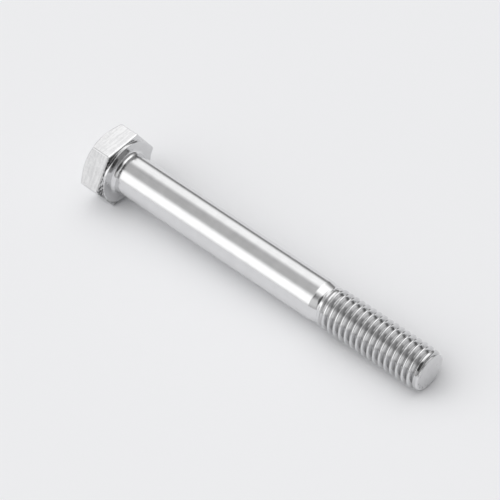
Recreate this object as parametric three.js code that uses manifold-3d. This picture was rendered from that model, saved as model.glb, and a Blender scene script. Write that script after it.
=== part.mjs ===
// M8 x 70 partly threaded hexagon head bolt, one forged and rolled piece.
// Millimetres, +Z up. The bolt axis is +X: the outer face of the head is at x = 0
// and the point of the thread is at x = HEAD_HEIGHT + NOMINAL_LENGTH. Two of the six
// wrench flats are square to Z.
import * as THREE from 'three';
import { mergeVertices } from 'three/addons/utils/BufferGeometryUtils.js';
import Module from 'manifold-3d';

const wasm = await Module();
wasm.setup();

// ---- head -------------------------------------------------------------------
const ACROSS_FLATS = 13.0;
const HEAD_HEIGHT = 5.3; // outer face to bearing face, washer face included
const WASHER_FACE_HEIGHT = 0.5;
const WASHER_FACE_DIAMETER = 12.4;
const WASHER_FACE_BREAK = 0.12; // small bevel round the rim of the washer face
const CROWN_DIAMETER = 12.35; // flat circle left on the outer face by the chamfer
const CROWN_ANGLE = 30; // chamfer angle from the outer face, degrees
// ---- plain shank --------------------------------------------------------------
const NOMINAL_LENGTH = 70.0; // bearing face to point
const SHANK_DIAMETER = 7.85;
const FILLET_DIAMETER = 9.0; // where the under-head fillet meets the bearing face
const FILLET_HEIGHT = 0.9;
const FILLET_STEPS = 4;
const NECK_START = 46.0; // from the bearing face, end of the full shank
const NECK_LENGTH = 0.5; // short cone down to the rolling diameter
const NECK_DIAMETER = 7.6;
const NECK_END_DIAMETER = 7.2; // rolling diameter, just under the pitch diameter
const THREAD_START = 47.9; // from the bearing face, first trace of the thread
// ---- thread -------------------------------------------------------------------
const PITCH = 1.25;
const MAJOR_DIAMETER = 7.97;
const MINOR_DIAMETER = 6.47;
const FLANK_ANGLE = 30; // half of the 60 degree thread angle
const RUNOUT_LENGTH = 2.6; // length over which the crest grows to full height
const POINT_DIAMETER = 6.7; // flat end face
const POINT_CHAMFER_LENGTH = 1.7;
const CREST_OFFSET = 0.72; // x of a crest on the +Z side, whole pitches taken off
// ---- facets -------------------------------------------------------------------
const ROUND_SEGMENTS = 60;
const TURN_SEGMENTS = 30;

const TAU = Math.PI * 2;
const SHANK_X = HEAD_HEIGHT;
const TIP_X = HEAD_HEIGHT + NOMINAL_LENGTH;

function solid(geometry) {
  const g = geometry.clone();
  g.deleteAttribute('normal');
  if (g.getAttribute('uv')) g.deleteAttribute('uv');
  const m = mergeVertices(g, 1e-5);
  return new wasm.Manifold(new wasm.Mesh({
    numProp: 3,
    vertProperties: new Float32Array(m.getAttribute('position').array),
    triVerts: new Uint32Array(m.index.array),
  }));
}

// Turned shape about the bolt axis from [x, radius] pairs that start and end on the axis.
function turned(pairs, segments = ROUND_SEGMENTS) {
  const points = pairs.map(([x, r]) => new THREE.Vector2(r, x));
  const g = new THREE.LatheGeometry(points, segments);
  g.rotateZ(-Math.PI / 2); // lathe axis +Y becomes +X
  return solid(g);
}

// Hexagon with its outer corners turned off by the 30 degree chamfer.
function hexagon() {
  const depth = HEAD_HEIGHT - WASHER_FACE_HEIGHT;
  const corner = ACROSS_FLATS / 2 / Math.cos(Math.PI / 6);
  const outline = new THREE.Shape();
  for (let i = 0; i < 6; i += 1) {
    const a = (i / 6) * TAU;
    if (i === 0) outline.moveTo(corner * Math.cos(a), corner * Math.sin(a));
    else outline.lineTo(corner * Math.cos(a), corner * Math.sin(a));
  }
  outline.closePath();
  const prism = new THREE.ExtrudeGeometry(outline, { depth, bevelEnabled: false });
  prism.rotateX(Math.PI / 2); // corners at +X and -X, depth toward -Y
  prism.rotateZ(Math.PI / 2); // depth toward +X, corners at +Y and -Y, flats square to Z
  const slope = Math.tan((CROWN_ANGLE * Math.PI) / 180);
  const reach = corner + 2;
  const crown = turned([
    [-1, 0],
    [-1, CROWN_DIAMETER / 2 - 1 / slope],
    [(reach - CROWN_DIAMETER / 2) * slope, reach],
    [depth + 1, reach],
    [depth + 1, 0],
  ], 96);
  return solid(prism).intersect(crown);
}

// Forged washer face with the fillet that runs into the shank.
function washerFace() {
  const r = WASHER_FACE_DIAMETER / 2;
  const x0 = HEAD_HEIGHT - WASHER_FACE_HEIGHT;
  const pairs = [
    [x0 - 1, 0],
    [x0 - 1, r],
    [HEAD_HEIGHT - WASHER_FACE_BREAK, r],
    [HEAD_HEIGHT, r - WASHER_FACE_BREAK],
    [HEAD_HEIGHT, FILLET_DIAMETER / 2],
  ];
  const dr = (FILLET_DIAMETER - SHANK_DIAMETER) / 2;
  for (let i = 1; i <= FILLET_STEPS; i += 1) {
    const a = (i / FILLET_STEPS) * (Math.PI / 2);
    pairs.push([
      HEAD_HEIGHT + FILLET_HEIGHT * (1 - Math.cos(a)),
      FILLET_DIAMETER / 2 - dr * Math.sin(a),
    ]);
  }
  pairs.push([HEAD_HEIGHT + FILLET_HEIGHT, 0]);
  return turned(pairs);
}

// Everything past the end of the point, taken off to leave its flat face.
function beyondPoint() {
  const g = new THREE.BoxGeometry(6, 20, 20);
  g.translate(TIP_X + 3, 0, 0);
  return solid(g);
}

// Plain shank, the reduced neck, and the thread core that the roots fade into.
function shankAndCore() {
  const rs = SHANK_DIAMETER / 2;
  const neck = SHANK_X + NECK_START;
  const start = SHANK_X + THREAD_START;
  const core = MINOR_DIAMETER / 2 - 0.02;
  return turned([
    [SHANK_X - 0.5, 0],
    [SHANK_X - 0.5, rs],
    [neck, rs],
    [neck + NECK_LENGTH, NECK_DIAMETER / 2],
    [start, NECK_END_DIAMETER / 2],
    [start + RUNOUT_LENGTH * 0.55, core],
    [TIP_X - 1, core],
    [TIP_X - 1, 0],
  ]);
}

// Closed helicoidal bar: a 60 degree thread profile advanced one pitch per turn.
function helicoid(fromX, toX) {
  const crest = PITCH / 8;
  const depth = (MAJOR_DIAMETER - MINOR_DIAMETER) / 2;
  const run = depth * Math.tan((FLANK_ANGLE * Math.PI) / 180);
  const profile = [
    [0, MAJOR_DIAMETER / 2],
    [crest, MAJOR_DIAMETER / 2],
    [crest + run, MINOR_DIAMETER / 2],
    [PITCH - run, MINOR_DIAMETER / 2],
  ];
  const turns = Math.ceil((toX - fromX) / PITCH) + 2;
  const m = profile.length;
  const rows = turns * m + 1;
  const position = [];
  for (let j = 0; j < TURN_SEGMENTS; j += 1) {
    const a = (j / TURN_SEGMENTS) * TAU;
    for (let i = 0; i < rows; i += 1) {
      const [dx, r] = profile[i % m];
      const x = fromX - PITCH + (Math.floor(i / m) + j / TURN_SEGMENTS) * PITCH + dx;
      position.push(x, -r * Math.sin(a), r * Math.cos(a));
    }
  }
  const at = (j, i) => (j < TURN_SEGMENTS ? j * rows + i : i + m);
  const index = [];
  for (let j = 0; j < TURN_SEGMENTS; j += 1) {
    const last = j === TURN_SEGMENTS - 1 ? rows - 1 - m : rows - 1;
    for (let i = 0; i < last; i += 1) {
      index.push(at(j, i), at(j + 1, i), at(j, i + 1));
      index.push(at(j, i + 1), at(j + 1, i), at(j + 1, i + 1));
    }
  }
  const startLoop = [];
  for (let j = 0; j < TURN_SEGMENTS; j += 1) startLoop.push(at(j, 0));
  for (let i = m; i > 0; i -= 1) startLoop.push(at(0, i));
  const endLoop = [at(0, rows - 1)];
  for (let j = 1; j < TURN_SEGMENTS; j += 1) endLoop.push(at(j, rows - 1));
  for (let i = rows - 2; i > rows - 1 - m; i -= 1) endLoop.push(at(TURN_SEGMENTS - 1, i));
  endLoop.push(at(TURN_SEGMENTS - 1, rows - 1 - m));
  const a0 = position.length / 3;
  position.push(fromX - PITCH * 1.5, 0, 0);
  position.push(fromX + (turns + 0.5) * PITCH, 0, 0);
  for (let i = 0; i < startLoop.length; i += 1) {
    index.push(a0, startLoop[(i + 1) % startLoop.length], startLoop[i]);
  }
  for (let i = 0; i < endLoop.length; i += 1) {
    index.push(a0 + 1, endLoop[i], endLoop[(i + 1) % endLoop.length]);
  }
  const g = new THREE.BufferGeometry();
  g.setAttribute('position', new THREE.Float32BufferAttribute(position, 3));
  g.setIndex(index);
  return solid(g);
}

// Rolled thread: the helicoid trimmed to the run-out at the neck and to the point.
function thread() {
  const start = SHANK_X + THREAD_START;
  const R = MAJOR_DIAMETER / 2;
  const envelope = turned([
    [start - 0.4, 0],
    [start - 0.4, NECK_END_DIAMETER / 2 - 0.1],
    [start + RUNOUT_LENGTH * 0.45, R - 0.13],
    [start + RUNOUT_LENGTH, R + 0.02],
    [TIP_X - POINT_CHAMFER_LENGTH, R + 0.02],
    [TIP_X - POINT_CHAMFER_LENGTH * 0.45, R - 0.22],
    [TIP_X, POINT_DIAMETER / 2],
    [TIP_X + 0.5, POINT_DIAMETER / 2 - 0.3],
    [TIP_X + 0.5, 0],
  ], TURN_SEGMENTS);
  const fromX = Math.floor((start - 0.5) / PITCH) * PITCH + CREST_OFFSET - PITCH / 16;
  return helicoid(fromX, TIP_X).intersect(envelope);
}

function toGeometry(manifold) {
  const mesh = manifold.getMesh();
  const g = new THREE.BufferGeometry();
  g.setAttribute('position', new THREE.BufferAttribute(new Float32Array(mesh.vertProperties), 3));
  g.setIndex(new THREE.BufferAttribute(new Uint32Array(mesh.triVerts), 1));
  g.computeVertexNormals();
  return g;
}

const body = hexagon()
  .add(washerFace())
  .add(shankAndCore())
  .add(thread())
  .subtract(beyondPoint());

const steel = new THREE.MeshStandardMaterial({ color: 0xc4c5c7, roughness: 0.24, metalness: 1.0 });
const bolt = new THREE.Mesh(toGeometry(body), steel);
bolt.name = 'hex_bolt';

const group = new THREE.Group();
group.name = 'hex_bolt_m8x70';
group.add(bolt);

export default group;
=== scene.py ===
import math

import bmesh
import bpy
import numpy as np
from mathutils import Matrix, Vector


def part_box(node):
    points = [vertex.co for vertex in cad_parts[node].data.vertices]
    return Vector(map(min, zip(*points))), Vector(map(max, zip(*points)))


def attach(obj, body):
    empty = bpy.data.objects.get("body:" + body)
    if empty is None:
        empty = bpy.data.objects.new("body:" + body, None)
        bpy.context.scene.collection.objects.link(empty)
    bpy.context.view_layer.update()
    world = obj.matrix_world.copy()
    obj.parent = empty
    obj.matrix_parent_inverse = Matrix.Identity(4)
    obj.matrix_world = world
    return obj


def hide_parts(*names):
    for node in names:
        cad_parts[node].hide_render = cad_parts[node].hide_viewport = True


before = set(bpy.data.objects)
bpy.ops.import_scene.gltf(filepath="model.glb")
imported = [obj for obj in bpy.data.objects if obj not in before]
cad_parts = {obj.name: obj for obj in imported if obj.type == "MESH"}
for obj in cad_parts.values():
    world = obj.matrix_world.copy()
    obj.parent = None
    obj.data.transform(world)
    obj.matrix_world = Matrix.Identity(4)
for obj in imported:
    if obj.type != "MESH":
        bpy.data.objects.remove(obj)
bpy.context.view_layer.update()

MM = 0.001

# ---------------------------------------------------------------------------
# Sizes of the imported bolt, in millimetres along the frame's own axes.
# ---------------------------------------------------------------------------
box_low, box_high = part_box("hex_bolt")
END_X = round(box_high[0] / MM, 3)          # end face of the point
HALF_FLATS = round(box_high[2] / MM, 3)     # half of the width across flats
HEAD = 5.3                                   # outer face to bearing face
WASHER_H = 0.5
WASHER_R = 6.2
CROWN_R = 6.175
SHANK_R = 3.925
FILLET_R = 4.5
FILLET_H = 0.9
NECK_X = HEAD + 46.0
PITCH = 1.25
MAJOR_R = 3.985
MINOR_R = 3.235
CREST_OFFSET = 0.72                          # x of a crest on the +Z side, whole pitches taken off

COLS = 168                                   # columns round the axis, 28 to a flat
HELIX_FROM = 52.35                           # the helical grid takes over from the rings here
HELIX_TO = END_X - 0.1


def smin(a, b, k):
    h = np.clip(0.5 + 0.5 * (b - a) / k, 0.0, 1.0)
    return b * (1 - h) + a * h - k * h * (1 - h)


def smax(a, b, k):
    return -smin(-a, -b, k)


def step(x, a, b):
    t = np.clip((x - a) / (b - a), 0.0, 1.0)
    return t * t * (3 - 2 * t)


# ---------------------------------------------------------------------------
# Hexagon with rounded corners, as a radius over the angle from a corner.
# ---------------------------------------------------------------------------
CORNER_ROUND = 0.25


def hex_radius(delta_deg):
    d = math.radians(abs(delta_deg))
    rho = CORNER_ROUND
    dc = (HALF_FLATS - rho) / math.cos(math.pi / 6)
    tangent = math.atan2(rho * 0.5, dc + rho * math.cos(math.pi / 6))
    if d < tangent:
        return dc * math.cos(d) + math.sqrt(max(rho * rho - (dc * math.sin(d)) ** 2, 0.0))
    return HALF_FLATS / math.cos(math.pi / 6 - d)


# Column angles, measured from +Z toward -Y. They crowd at the six corners.
half = [0.0, 0.3, 0.6, 0.95, 1.35, 1.8, 2.6, 4.0, 6.2, 9.2, 13.0, 17.2, 21.5, 25.8, 30.0]
head_angles = []
head_radius = []
for k in range(6):
    corner = 30 + 60 * k
    offs = [-h for h in half[::-1]] + half[1:]
    for o in offs[:-1]:
        head_angles.append(corner + o)
        head_radius.append(hex_radius(o))
head_angles = np.radians(np.array(head_angles))
head_radius = np.array(head_radius)
even_angles = 2 * np.pi * np.arange(COLS) / COLS
assert len(head_angles) == COLS


def corner_arc(a, b, c, rho, count, share_in=0.5, share_out=0.5):
    """Points of a round of radius rho on the corner b of a path a-b-c."""
    ab = np.subtract(a, b)
    cb = np.subtract(c, b)
    la, lc = np.hypot(*ab), np.hypot(*cb)
    ua, uc = ab / la, cb / lc
    ang = math.acos(max(-1.0, min(1.0, float(np.dot(ua, uc)))))
    t = rho / math.tan(ang / 2)
    t = min(t, la * share_in, lc * share_out)
    rho = t * math.tan(ang / 2)
    bis = (ua + uc) / np.hypot(*(ua + uc))
    centre = np.array(b) + bis * (rho / math.sin(ang / 2))
    p0 = np.array(b) + ua * t
    p1 = np.array(b) + uc * t
    v0, v1 = p0 - centre, p1 - centre
    a0 = math.atan2(v0[1], v0[0])
    a1 = math.atan2(v1[1], v1[0])
    d = (a1 - a0 + math.pi) % (2 * math.pi) - math.pi
    return [centre + rho * np.array([math.cos(a0 + d * f), math.sin(a0 + d * f)])
            for f in np.linspace(0, 1, count)]


def between(p, q, fractions):
    p, q = np.array(p), np.array(q)
    return [p + (q - p) * f for f in fractions]


def head_profile(rh):
    """(x, r) down one column of the head, from the crown to the start of the shank."""
    tan30 = math.tan(math.pi / 6)
    under = HEAD - WASHER_H
    c0 = (0.0, 0.0)
    c1 = (0.0, CROWN_R)
    c2 = ((rh - CROWN_R) * tan30, rh)
    c2b = (under - 0.36, rh)                  # lower edge of the flat rolls in slightly
    c3 = (under, rh - 0.075)
    c4 = (under, WASHER_R)
    c5 = (HEAD, WASHER_R)
    c6 = (HEAD, FILLET_R)
    a1 = corner_arc(c0, c1, c2, 0.55, 5)
    a2 = corner_arc(c1, c2, c2b, 0.45, 6, 0.4, 0.2)
    a2b = corner_arc(c2, c2b, c3, 0.5, 3, 0.1, 0.3)
    a3 = corner_arc(c2b, c3, c4, 0.09, 5, 0.3, 0.4)
    a4 = corner_arc(c3, c4, c5, 0.05, 4, 0.3, 0.4)
    a5 = corner_arc(c4, c5, c6, 0.09, 5, 0.45, 0.4)
    rows = between(c0, a1[0], [0.1, 0.25, 0.4, 0.55, 0.7, 0.82, 0.91, 0.96, 0.985])
    rows += a1
    rows += between(a1[-1], a2[0], [0.15, 0.5, 0.85])
    rows += a2
    rows += between(a2[-1], a2b[0], [0.02, 0.08, 0.2, 0.35, 0.5, 0.65, 0.8, 0.92, 0.98])
    rows += a2b
    rows += between(a2b[-1], a3[0], [0.15, 0.5, 0.85])
    rows += a3
    rows += between(a3[-1], a4[0], [0.2, 0.5, 0.8])
    rows += a4
    rows += between(a4[-1], a5[0], [0.3, 0.7])
    rows += a5
    rows += between(a5[-1], c6, [0.03, 0.12, 0.3, 0.5, 0.7, 0.88, 0.97, 1.0])
    for f in np.linspace(0, 1, 15)[1:]:
        a = f * math.pi / 2
        rows.append(np.array([HEAD + FILLET_H * (1 - math.cos(a)),
                              FILLET_R - (FILLET_R - SHANK_R) * math.sin(a)]))
    return rows


profiles = np.array([head_profile(rh) for rh in head_radius])      # col, row, (x, r)
head_x = profiles[:, :, 0].T.copy()                                 # row, col
head_r = profiles[:, :, 1].T.copy()
HEAD_ROWS = head_x.shape[0]

# Very shallow forging waviness of the head, kept off the outer silhouette edges.
A = head_angles[None, :]
wave = (0.010 * np.sin(3.0 * A + 0.6) * np.sin(head_x * 1.35 + 0.4)
        + 0.006 * np.sin(11.0 * A + 1.9 + head_x * 0.9)
        + 0.004 * np.sin(17.0 * A - 2.3 * head_x))
# The trimmed lower rim of the hexagon is slightly ragged on its underside.
rag = (np.sin(23 * A + 0.7) + np.sin(37 * A + 2.1) + 0.8 * np.sin(61 * A + 4.0) + 0.6 * np.sin(8 * A)) / 3.4
under_rim = (head_x > 4.74) & (head_x < 4.86) & (head_r > 6.24)
head_x = head_x - np.where(under_rim, 0.045 * np.clip(rag, 0, 1) * step(head_r, 6.22, 6.34), 0.0)
flat_zone = step(head_x, 0.6, 1.3) * (1 - step(head_x, 3.9, 4.5)) * (head_r > 6.3)
head_r = head_r + wave * flat_zone

# ---------------------------------------------------------------------------
# Shank, neck, thread and point as a radius over x and angle.
# ---------------------------------------------------------------------------
ENV = np.array([
    (6.0, SHANK_R), (51.22, SHANK_R), (51.34, SHANK_R - 0.012), (51.60, SHANK_R - 0.068),
    (52.45, 3.695), (52.85, 3.605), (53.10, 3.640), (53.45, 3.790), (54.0, 3.885),
    (54.6, 3.925), (56.0, 3.948), (59.0, 3.975), (61.0, 3.990), (72.6, 3.990),
    (73.4, 3.955), (74.0, 3.880), (74.5, 3.780), (74.85, 3.660), (75.05, 3.560),
    (75.15, 3.505), (75.22, 3.465), (75.3, 3.3),
])
CORE = np.array([
    (6.0, SHANK_R - 0.2), (51.5, SHANK_R - 0.2), (52.85, 3.565), (53.25, 3.555), (54.0, 3.470),
    (54.8, 3.330), (55.8, 3.230), (57.0, 3.1), (74.2, 3.0), (74.75, 3.22), (75.05, 3.42), (75.2, 3.5),
    (75.4, 3.5),
])


def envelope(x):
    return np.interp(x, ENV[:, 0], ENV[:, 1])


def core(x):
    return np.interp(x, CORE[:, 0], CORE[:, 1])


def thread_form(q):
    """Radius of the 60 degree thread at distance q from the middle of a crest."""
    q = np.abs(q)
    flank = MAJOR_R + 0.200 - q * math.sqrt(3)
    crest = MAJOR_R - q * q / 0.9
    r = smin(flank, crest, 0.06)
    r = smax(r, np.full_like(q, MINOR_R), 0.09)
    # the rolled crest keeps a faint seam along its middle
    return r - 0.014 * np.exp(-((q - 0.01) / 0.024) ** 2)


def barrel(x, a):
    """Radius of everything from the fillet to the point."""
    q = (x - CREST_OFFSET - PITCH * a / (2 * np.pi) + PITCH / 2) % PITCH - PITCH / 2
    t = thread_form(q)
    env = envelope(x)
    r = smin(t, env, 0.06)
    r = smax(r, np.minimum(core(x), env), 0.05)
    in_thread = step(x, 52.55, 52.95)
    r = env * (1 - in_thread) + r * in_thread
    return r


# Rings of the plain shank and neck.
ring_x = np.concatenate([
    np.array([6.27, 6.45, 6.9]),
    np.linspace(7.8, 50.4, 38),
    np.array([50.8, 51.05, 51.15, 51.2, 51.25, 51.3, 51.35, 51.42, 51.5, 51.6, 51.75, 51.9, 52.05, 52.2, 52.3]),
])
blend = step(ring_x, 6.0, 18.0)[:, None]
wrapped = even_angles.copy()
ring_a = head_angles[None, :] * (1 - blend) + wrapped[None, :] * blend
ring_X = np.repeat(ring_x[:, None], COLS, 1)
ring_R = barrel(ring_X, ring_a)
ring_R = ring_R + 0.0025 * np.sin(ring_X * 0.55) * np.sin(2 * ring_a + 0.7)

grid_x = np.vstack([head_x, ring_X])
grid_r = np.vstack([head_r, ring_R])
grid_a = np.vstack([np.repeat(head_angles[None, :], HEAD_ROWS, 0), ring_a])

bm = bmesh.new()


def place(x, r, a):
    return bm.verts.new((x * MM, -r * math.sin(a) * MM, r * math.cos(a) * MM))


pole = bm.verts.new((0.0, 0.0, 0.0))
grid = [[place(grid_x[i, j], grid_r[i, j], grid_a[i, j]) for j in range(COLS)]
        for i in range(grid_x.shape[0])]
for j in range(COLS):
    k = (j + 1) % COLS
    bm.faces.new((pole, grid[0][k], grid[0][j]))
    for i in range(len(grid) - 1):
        bm.faces.new((grid[i][j], grid[i][k], grid[i + 1][k], grid[i + 1][j]))
ring_loop = grid[-1]

# ---------------------------------------------------------------------------
# Helical grid of the thread: rows follow the helix, so crests and roots stay clean.
# ---------------------------------------------------------------------------
rows_q = np.array([-0.625, -0.59, -0.555, -0.52, -0.47, -0.39, -0.30, -0.215, -0.170, -0.140, -0.112,
                   -0.085, -0.06, -0.035, -0.012, 0.012, 0.035, 0.06, 0.085, 0.112, 0.140, 0.170, 0.215,
                   0.30, 0.39, 0.47, 0.52, 0.555, 0.59])
NP = len(rows_q)
first = math.floor((HELIX_FROM - CREST_OFFSET) / PITCH) - 1
last = math.ceil((HELIX_TO - CREST_OFFSET) / PITCH) + 1
turns = last - first + 1
hx = np.array([CREST_OFFSET + (first + i // NP) * PITCH + rows_q[i % NP] for i in range(turns * NP)])
hm = bmesh.new()
HX = hx[:, None] + PITCH * even_angles[None, :] / (2 * np.pi)
HA = np.repeat(even_angles[None, :], len(hx), 0)
HR = barrel(np.clip(HX, 6.0, END_X), HA)
hv = [[hm.verts.new((HX[i, j] * MM, -HR[i, j] * math.sin(HA[i, j]) * MM, HR[i, j] * math.cos(HA[i, j]) * MM))
       for j in range(COLS)] for i in range(len(hx))]
for j in range(COLS):
    for i in range(len(hx) - 1):
        if j < COLS - 1:
            hm.faces.new((hv[i][j], hv[i][j + 1], hv[i + 1][j + 1], hv[i + 1][j]))
        elif i + 1 + NP < len(hx):
            hm.faces.new((hv[i][j], hv[i + NP][0], hv[i + 1 + NP][0], hv[i + 1][j]))
for cut, sign in ((HELIX_FROM, -1), (HELIX_TO, 1)):
    bmesh.ops.bisect_plane(
        hm, geom=hm.verts[:] + hm.edges[:] + hm.faces[:], dist=1e-9,
        plane_co=(cut * MM, 0, 0), plane_no=(sign, 0, 0), clear_outer=True)
loose = [v for v in hm.verts if not v.link_faces]
bmesh.ops.delete(hm, geom=loose, context="VERTS")
bmesh.ops.remove_doubles(hm, verts=hm.verts[:], dist=2e-8)


def angle_of(co):
    return math.atan2(-co[1], co[2]) % (2 * math.pi)


copy = {}
for v in hm.verts:
    copy[v] = bm.verts.new(v.co)
for f in hm.faces:
    bm.faces.new([copy[v] for v in f.verts])


def rim(at):
    edge_verts = {v for e in hm.edges if len(e.link_faces) == 1 for v in e.verts
                  if abs(v.co.x - at * MM) < 5e-8}
    return sorted((copy[v] for v in edge_verts), key=lambda v: angle_of(v.co))


start_rim = rim(HELIX_FROM)
end_rim = rim(HELIX_TO)
hm.free()


def stitch(low, high):
    """Triangles between two closed rims, low at the smaller x."""
    low = sorted(low, key=lambda v: angle_of(v.co))
    high = sorted(high, key=lambda v: angle_of(v.co))
    la = [angle_of(v.co) for v in low] + [angle_of(low[0].co) + 2 * math.pi]
    ha = [angle_of(v.co) for v in high] + [angle_of(high[0].co) + 2 * math.pi]
    i = j = 0
    while i < len(low) or j < len(high):
        if j >= len(high) or (i < len(low) and la[i + 1] <= ha[j + 1]):
            a, b, c = low[i % len(low)], low[(i + 1) % len(low)], high[j % len(high)]
            bm.faces.new((a, b, c))
            i += 1
        else:
            a, b, c = low[i % len(low)], high[(j + 1) % len(high)], high[j % len(high)]
            bm.faces.new((a, b, c))
            j += 1


stitch(ring_loop, start_rim)

# Rings of the rounded rim of the point and its flat end face.
rim_rings = []
for x, r in [(75.218, 3.462), (75.250, 3.440), (75.277, 3.408), (75.292, 3.370), (75.299, 3.325), (75.3, 3.27), (75.3, 3.16),
             (75.3, 3.04), (75.3, 2.96), (75.3, 2.88), (75.3, 2.8), (75.3, 2.7), (75.3, 2.58), (75.3, 2.4),
             (75.3, 2.2), (75.3, 1.9), (75.3, 1.6), (75.3, 1.1), (75.3, 0.6)]:
    rim_rings.append([place(x, r, a) for a in even_angles])
stitch(end_rim, rim_rings[0])
for ra, rb in zip(rim_rings[:-1], rim_rings[1:]):
    for j in range(COLS):
        k = (j + 1) % COLS
        bm.faces.new((ra[j], ra[k], rb[k], rb[j]))
tip_pole = bm.verts.new((END_X * MM, 0.0, 0.0))
for j in range(COLS):
    bm.faces.new((rim_rings[-1][j], rim_rings[-1][(j + 1) % COLS], tip_pole))

# Shallow dents of the cropped end face, most of them near its lower rim.
DENTS = [(2.95, 96, 0.16, 0.045), (2.75, 112, 0.13, 0.035), (3.02, 121, 0.15, 0.05), (2.72, 133, 0.12, 0.03),
         (2.98, 142, 0.17, 0.05), (2.84, 158, 0.13, 0.035), (3.05, 171, 0.15, 0.04), (2.4, 150, 0.12, 0.02),
         (2.9, 64, 0.12, 0.025), (1.5, 20, 0.2, 0.012), (0.9, 200, 0.25, 0.012), (1.9, 280, 0.22, 0.012)]
for v in bm.verts:
    if v.co.x > (END_X - 0.06) * MM:
        y, z = v.co.y / MM, v.co.z / MM
        r0 = math.hypot(y, z)
        drop = 0.0
        for rr, deg, wide, deep in DENTS:
            cy, cz = -rr * math.sin(math.radians(deg)), rr * math.cos(math.radians(deg))
            drop += deep * math.exp(-((y - cy) ** 2 + (z - cz) ** 2) / (wide * wide))
        v.co.x -= drop * MM * (1.0 if r0 > 0.2 else 0.0)

bmesh.ops.recalc_face_normals(bm, faces=bm.faces[:])
for f in bm.faces:
    f.smooth = True
bad = [e for e in bm.edges if len(e.link_faces) != 2]
print("bolt mesh", len(bm.verts), "vertices", len(bm.faces), "faces", len(bad), "open edges",
      "volume mm3", round(bm.calc_volume() * 1e9, 2))
mesh = bpy.data.meshes.new("bolt_body")
bm.to_mesh(mesh)
bm.free()
bolt = bpy.data.objects.new("bolt_body", mesh)
bpy.context.scene.collection.objects.link(bolt)

# Masks stored on the mesh, so the steel can differ from place to place; root, lip and the underside mask also
# place painted shade.
co = np.empty(len(mesh.vertices) * 3)
mesh.vertices.foreach_get("co", co)
co = co.reshape(-1, 3) / MM
rad = np.hypot(co[:, 1], co[:, 2])
masks = {
    "on_thread": step(co[:, 0], 52.6, 53.4) * (rad > 2.9),
    "on_end": ((co[:, 0] > END_X - 0.10) & (rad < 3.50)).astype(float),
    "dent": np.clip((END_X - 0.004 - co[:, 0]) / 0.02, 0, 1) * ((co[:, 0] > END_X - 0.07) & (rad < 3.3)),
    "on_head": 1 - step(co[:, 0], 4.7, 4.9),
    "lip": (((co[:, 0] > 4.70) & (co[:, 0] < 4.87) & (rad > 6.21)).astype(float)
            * step(np.degrees(np.arctan2(-co[:, 1], co[:, 2])), 24, 34)
            * (1 - 0.5 * step(np.degrees(np.arctan2(-co[:, 1], co[:, 2])), 95, 120))),
    # lower half of the bolt, where the thread grooves get more painted shade
    "underside_shade": step(np.degrees(np.arctan2(-co[:, 1], co[:, 2])) % 360, 62, 92)
                  * (1 - step(np.degrees(np.arctan2(-co[:, 1], co[:, 2])) % 360, 250, 290)),
    "root": np.clip((MAJOR_R - rad) / (MAJOR_R - MINOR_R), 0, 1) * step(co[:, 0], 52.9, 54.5) * (rad > 2.9)
            * (1 - step(co[:, 0], 74.85, 75.1)),
}
for name, values in masks.items():
    at = mesh.attributes.new(name, "FLOAT", "POINT")
    at.data.foreach_set("value", values.astype(np.float32))

normals = bolt.modifiers.new("even_normals", "WEIGHTED_NORMAL")
normals.keep_sharp = True
normals.weight = 60

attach(bolt, "root")
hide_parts("hex_bolt")


# ---------------------------------------------------------------------------
# Steel
# ---------------------------------------------------------------------------
def new_material(name):
    m = bpy.data.materials.new(name)
    m.use_nodes = True
    nt = m.node_tree
    nt.nodes.clear()
    out = nt.nodes.new("ShaderNodeOutputMaterial")
    bsdf = nt.nodes.new("ShaderNodeBsdfPrincipled")
    nt.links.new(bsdf.outputs[0], out.inputs[0])
    return m, nt, bsdf


def link(nt, a, b):
    nt.links.new(a, b)


def math_node(nt, op, a, b=None, c=None, clamp=False):
    n = nt.nodes.new("ShaderNodeMath")
    n.operation = op
    n.use_clamp = clamp
    for i, v in enumerate((a, b, c)):
        if v is None:
            continue
        if isinstance(v, (int, float)):
            n.inputs[i].default_value = v
        else:
            link(nt, v, n.inputs[i])
    return n.outputs[0]


def scaled(nt, coords, scale):
    n = nt.nodes.new("ShaderNodeMapping")
    n.inputs["Scale"].default_value = scale
    link(nt, coords, n.inputs["Vector"])
    return n.outputs[0]


def noise(nt, vec, scale, detail=3.0, rough=0.5):
    n = nt.nodes.new("ShaderNodeTexNoise")
    n.inputs["Scale"].default_value = scale
    n.inputs["Detail"].default_value = detail
    n.inputs["Roughness"].default_value = rough
    link(nt, vec, n.inputs["Vector"])
    return n.outputs["Fac"]


def attribute(nt, name):
    n = nt.nodes.new("ShaderNodeAttribute")
    n.attribute_name = name
    return n.outputs["Fac"]


steel, nt, bsdf = new_material("bright_cold_formed_steel")
tc = nt.nodes.new("ShaderNodeTexCoord").outputs["Object"]
mm_space = scaled(nt, tc, (1000, 1000, 1000))
drawn = noise(nt, scaled(nt, mm_space, (0.06, 5.0, 5.0)), 1.0, 4.0, 0.6)
rings = noise(nt, scaled(nt, mm_space, (9.0, 0.35, 0.35)), 1.0, 3.0, 0.55)
grain = noise(nt, mm_space, 14.0, 3.0, 0.6)
blotch = noise(nt, mm_space, 0.55, 3.0, 0.55)
on_thread = attribute(nt, "on_thread")
on_end = attribute(nt, "on_end")
on_head = attribute(nt, "on_head")
root = attribute(nt, "root")

rough = math_node(nt, "MULTIPLY_ADD", blotch, 0.07, 0.075)
rough = math_node(nt, "MULTIPLY_ADD", grain, 0.04, rough)
rough = math_node(nt, "MULTIPLY_ADD", drawn, 0.04, rough)
rough = math_node(nt, "MULTIPLY_ADD", on_end, 0.22, rough)
rough = math_node(nt, "MULTIPLY_ADD", on_head, 0.06, rough)
rough = math_node(nt, "MULTIPLY_ADD", on_thread, -0.06, rough)
rough = math_node(nt, "MULTIPLY_ADD", root, 0.02, rough, clamp=True)
link(nt, rough, bsdf.inputs["Roughness"])

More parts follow.
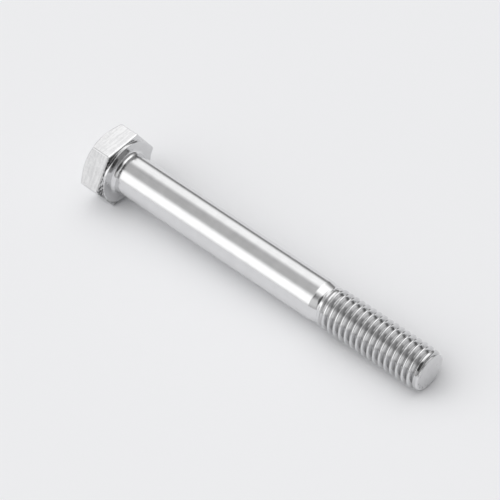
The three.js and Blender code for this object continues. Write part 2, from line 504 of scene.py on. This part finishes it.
ramp = nt.nodes.new("ShaderNodeValToRGB")
ramp.color_ramp.elements[0].position = 0.25
ramp.color_ramp.elements[0].color = (0.690, 0.690, 0.696, 1)
ramp.color_ramp.elements[1].position = 0.75
ramp.color_ramp.elements[1].color = (0.775, 0.775, 0.780, 1)
turned_lines = noise(nt, scaled(nt, mm_space, (2.4, 0.20, 0.20)), 1.0, 3.0, 0.6)
mottle = noise(nt, mm_space, 1.7, 4.0, 0.65)
tone = math_node(nt, "MULTIPLY_ADD", drawn, 0.35, math_node(nt, "MULTIPLY", blotch, 0.65))
head_tone = math_node(nt, "MULTIPLY_ADD", turned_lines, 2.2, math_node(nt, "MULTIPLY_ADD", mottle, 1.8, -1.5))
tone = math_node(nt, "MULTIPLY_ADD", math_node(nt, "SUBTRACT", head_tone, tone), on_head, tone)
link(nt, tone, ramp.inputs[0])
# Painted shade: the thread grooves are darkened, more so on the underside of the bolt, and dark flecks are
# painted under the ragged rim below the head; the dents of the end face are darkened too.
lip = attribute(nt, "lip")
underside_shade = attribute(nt, "underside_shade")
painted_shade_and_dents = math_node(nt, "MULTIPLY", root, math_node(nt, "MULTIPLY_ADD", underside_shade, 0.26, 0.34))
# Painted shade: dark flecks under the ragged lower rim of the head.
flecks = noise(nt, scaled(nt, mm_space, (2.0, 2.6, 2.6)), 1.0, 3.0, 0.6)
fleck_mask = nt.nodes.new("ShaderNodeMapRange")
fleck_mask.inputs["From Min"].default_value = 0.44
fleck_mask.inputs["From Max"].default_value = 0.56
link(nt, flecks, fleck_mask.inputs["Value"])
# The dents of the end face are darkened by their depth.
painted_shade_and_dents = math_node(nt, "MULTIPLY_ADD", attribute(nt, "dent"), 0.45, painted_shade_and_dents)
painted_shade_and_dents = math_node(nt, "MULTIPLY_ADD", math_node(nt, "MULTIPLY", fleck_mask.outputs[0], lip), 0.85, painted_shade_and_dents, clamp=True)
keep = math_node(nt, "SUBTRACT", 1.0, painted_shade_and_dents)
shade = nt.nodes.new("ShaderNodeVectorMath")
shade.operation = "SCALE"
link(nt, ramp.outputs[0], shade.inputs[0])
link(nt, keep, shade.inputs["Scale"])
link(nt, shade.outputs[0], bsdf.inputs["Base Color"])
bsdf.inputs["Metallic"].default_value = 1.0

speckle = noise(nt, mm_space, 2.6, 4.0, 0.65)
h = math_node(nt, "MULTIPLY", drawn, 0.5)
h = math_node(nt, "MULTIPLY_ADD", rings, math_node(nt, "MULTIPLY_ADD", on_head, 2.2, 0.30), h)
h = math_node(nt, "MULTIPLY_ADD", grain, math_node(nt, "MULTIPLY_ADD", on_head, 0.6, 0.25), h)
h = math_node(nt, "MULTIPLY_ADD", speckle, math_node(nt, "MULTIPLY_ADD", on_end, 2.5, 1.6), h)
h = math_node(nt, "MULTIPLY_ADD", turned_lines, math_node(nt, "MULTIPLY", on_head, 8.0), h)
h = math_node(nt, "MULTIPLY_ADD", mottle, math_node(nt, "MULTIPLY_ADD", on_head, 2.5, 1.0), h)
bump = nt.nodes.new("ShaderNodeBump")
bump.inputs["Strength"].default_value = 0.12
bump.inputs["Distance"].default_value = 0.00002
link(nt, h, bump.inputs["Height"])
link(nt, bump.outputs[0], bsdf.inputs["Normal"])
mesh.materials.append(steel)

# ---------------------------------------------------------------------------
# Floor: the bolt lies on one edge of its head and on the thread near its point.
# ---------------------------------------------------------------------------
REST_HEAD = (4.55, -HALF_FLATS)
REST_TIP = (73.0, -3.985)
tilt = math.atan2(REST_TIP[1] - REST_HEAD[1], REST_TIP[0] - REST_HEAD[0])
floor_mesh = bpy.data.meshes.new("studio_floor")
fb = bmesh.new()
bmesh.ops.create_grid(fb, x_segments=2, y_segments=2, size=6.0)
fb.to_mesh(floor_mesh)
fb.free()
floor = bpy.data.objects.new("studio_floor", floor_mesh)
bpy.context.scene.collection.objects.link(floor)
floor.rotation_euler = (0, -tilt, 0)
floor.location = (REST_HEAD[0] * MM, 0, (REST_HEAD[1] - 0.02) * MM)
fm, fnt, fbsdf = new_material("studio_paper")
fbsdf.inputs["Base Color"].default_value = (0.875, 0.878, 0.892, 1)
fbsdf.inputs["Roughness"].default_value = 0.9
fbsdf.inputs["Specular IOR Level"].default_value = 0.0
floor_mesh.materials.append(fm)

# ---------------------------------------------------------------------------
# Soft studio light, painted on the world by direction.
# ---------------------------------------------------------------------------
world = bpy.data.worlds.new("light_tent")
bpy.context.scene.world = world
world.use_nodes = True
wt = world.node_tree
wt.nodes.clear()
wout = wt.nodes.new("ShaderNodeOutputWorld")
bg_tent = wt.nodes.new("ShaderNodeBackground")       # what polished steel mirrors
bg_dome = wt.nodes.new("ShaderNodeBackground")       # overhead light that falls on the floor
bg_cam = wt.nodes.new("ShaderNodeBackground")        # backdrop
by_gloss = wt.nodes.new("ShaderNodeMixShader")
by_cam = wt.nodes.new("ShaderNodeMixShader")
lp = wt.nodes.new("ShaderNodeLightPath")
wt.links.new(lp.outputs["Is Glossy Ray"], by_gloss.inputs[0])
wt.links.new(bg_dome.outputs[0], by_gloss.inputs[1])
wt.links.new(bg_tent.outputs[0], by_gloss.inputs[2])
wt.links.new(lp.outputs["Is Camera Ray"], by_cam.inputs[0])
wt.links.new(by_gloss.outputs[0], by_cam.inputs[1])
wt.links.new(bg_cam.outputs[0], by_cam.inputs[2])
wt.links.new(by_cam.outputs[0], wout.inputs[0])
bg_cam.inputs[0].default_value = (0.845, 0.848, 0.862, 1)
wtc = wt.nodes.new("ShaderNodeTexCoord")
sep = wt.nodes.new("ShaderNodeSeparateXYZ")
wt.links.new(wtc.outputs["Generated"], sep.inputs[0])
dx, dy, dz = sep.outputs


def wmath(op, a, b=None, c=None, clamp=False):
    return math_node(wt, op, a, b, c, clamp)


def ease(value, low, high, at_low=0.0, at_high=1.0):
    n = wt.nodes.new("ShaderNodeMapRange")
    n.interpolation_type = "SMOOTHSTEP"
    n.inputs["From Min"].default_value = low
    n.inputs["From Max"].default_value = high
    n.inputs["To Min"].default_value = at_low
    n.inputs["To Max"].default_value = at_high
    wt.links.new(value, n.inputs["Value"])
    return n.outputs[0]


def blend_of(a, b, f):
    return wmath("MULTIPLY_ADD", wmath("SUBTRACT", b, a), f, a)


# Angle round the bolt axis: 0 straight up, positive toward -Y, in degrees.
azim = wmath("MULTIPLY", wmath("ARCTAN2", wmath("MULTIPLY", dy, -1.0), dz), 180 / math.pi)


def soft_window(value, low, high, soft):
    """1 between low and high, falling to 0 over the soft distance outside them."""
    return wmath("MULTIPLY", ease(value, low - soft, low), ease(value, high, high + soft, 1.0, 0.0))


# Dim room, and four broad soft panels: angle round the axis, reach along it, softness, strength.
ROOM = 0.50
PANELS = [
    (-60, -35, 25, -1.0, -0.35, 0.70),   # beyond the head, far side
    (50, 75, 25, -1.0, -0.35, 0.90),     # beyond the head, near side
    (-45, -5, 25, -0.25, 0.15, 0.95),    # overhead
    (45, 70, 20, -0.25, 0.15, 0.25),     # overhead, near side
]
light = None
for low, high, soft, x0, x1, strength in PANELS:
    panel = wmath("MULTIPLY", soft_window(azim, low, high, soft), soft_window(dx, x0, x1, 0.15))
    light = wmath("MULTIPLY_ADD", panel, strength, ROOM if light is None else light)
# The point end and the low far side of the room are darker.
light = wmath("MULTIPLY", light, ease(dx, 0.15, 0.45, 1.0, 0.65))
light = wmath("MULTIPLY", light, wmath("SUBTRACT", 1.0, wmath("MULTIPLY", soft_window(azim, -100, -80, 15), 0.5)))

# The camera and whoever holds it are a dark patch in the tent.
CAM_DIR = Vector((0.4119, -0.4822, 0.7732)).normalized()
dot = wt.nodes.new("ShaderNodeVectorMath")
dot.operation = "DOT_PRODUCT"
wt.links.new(wtc.outputs["Generated"], dot.inputs[0])
dot.inputs[1].default_value = CAM_DIR
near_cam = ease(dot.outputs["Value"], math.cos(math.radians(29)), math.cos(math.radians(25.2)), 1.0, 0.12)
wt.links.new(wmath("MULTIPLY", light, near_cam), bg_tent.inputs[1])
bg_tent.inputs[0].default_value = (1, 1, 1, 1)

# On the floor: a soft top light and a soft window from beyond the head end, on the camera's side.
overhead = wmath("MULTIPLY", wmath("POWER", wmath("MAXIMUM", dz, 0.0), 1.6), 1.52)
overhead = wmath("MULTIPLY", overhead, ease(dx, -0.1, 0.7, 1.0, 0.45))
window = wt.nodes.new("ShaderNodeVectorMath")
window.operation = "DOT_PRODUCT"
wt.links.new(wtc.outputs["Generated"], window.inputs[0])
window.inputs[1].default_value = Vector((-0.50, -0.62, 0.60)).normalized()
window = wmath("POWER", wmath("MAXIMUM", window.outputs["Value"], 0.0), 4.0)
above = ease(dz, 0.0, 0.02)
wt.links.new(wmath("MULTIPLY", wmath("MULTIPLY_ADD", window, 1.12, overhead), above), bg_dome.inputs[1])
bg_dome.inputs[0].default_value = (1, 1, 1, 1)

# ---------------------------------------------------------------------------
# Camera at the viewing angle of the photograph, long lens, focus everywhere.
# ---------------------------------------------------------------------------
RIGHT = Vector((0.7487817068875879, 0.6625902845139107, -0.017322537293526424))
DOWN = Vector((0.49714167562734074, -0.5787125905984771, -0.6464842549028088))
AHEAD = Vector((-0.4383789568226909, 0.47546382864585474, -0.7627306456833076))
EYE = Vector((229.23024729985684, -210.80990476347336, 339.0926135225385)) * MM
FOCAL_PX = 2530.4
cam_data = bpy.data.cameras.new("camera")
cam = bpy.data.objects.new("camera", cam_data)
bpy.context.scene.collection.objects.link(cam)
rot = Matrix((RIGHT, -DOWN, -AHEAD)).transposed()
cam.matrix_world = Matrix.Translation(EYE) @ rot.to_4x4()
cam_data.sensor_width = 36.0
cam_data.lens = FOCAL_PX / 500.0 * 36.0
cam_data.clip_start = 0.01
cam_data.clip_end = 20.0
bpy.context.scene.camera = cam
bpy.context.scene.view_settings.view_transform = "Standard"
bpy.context.scene.view_settings.look = "None"
bpy.context.scene.view_settings.exposure = 0.0
bpy.context.scene.view_settings.gamma = 1.0
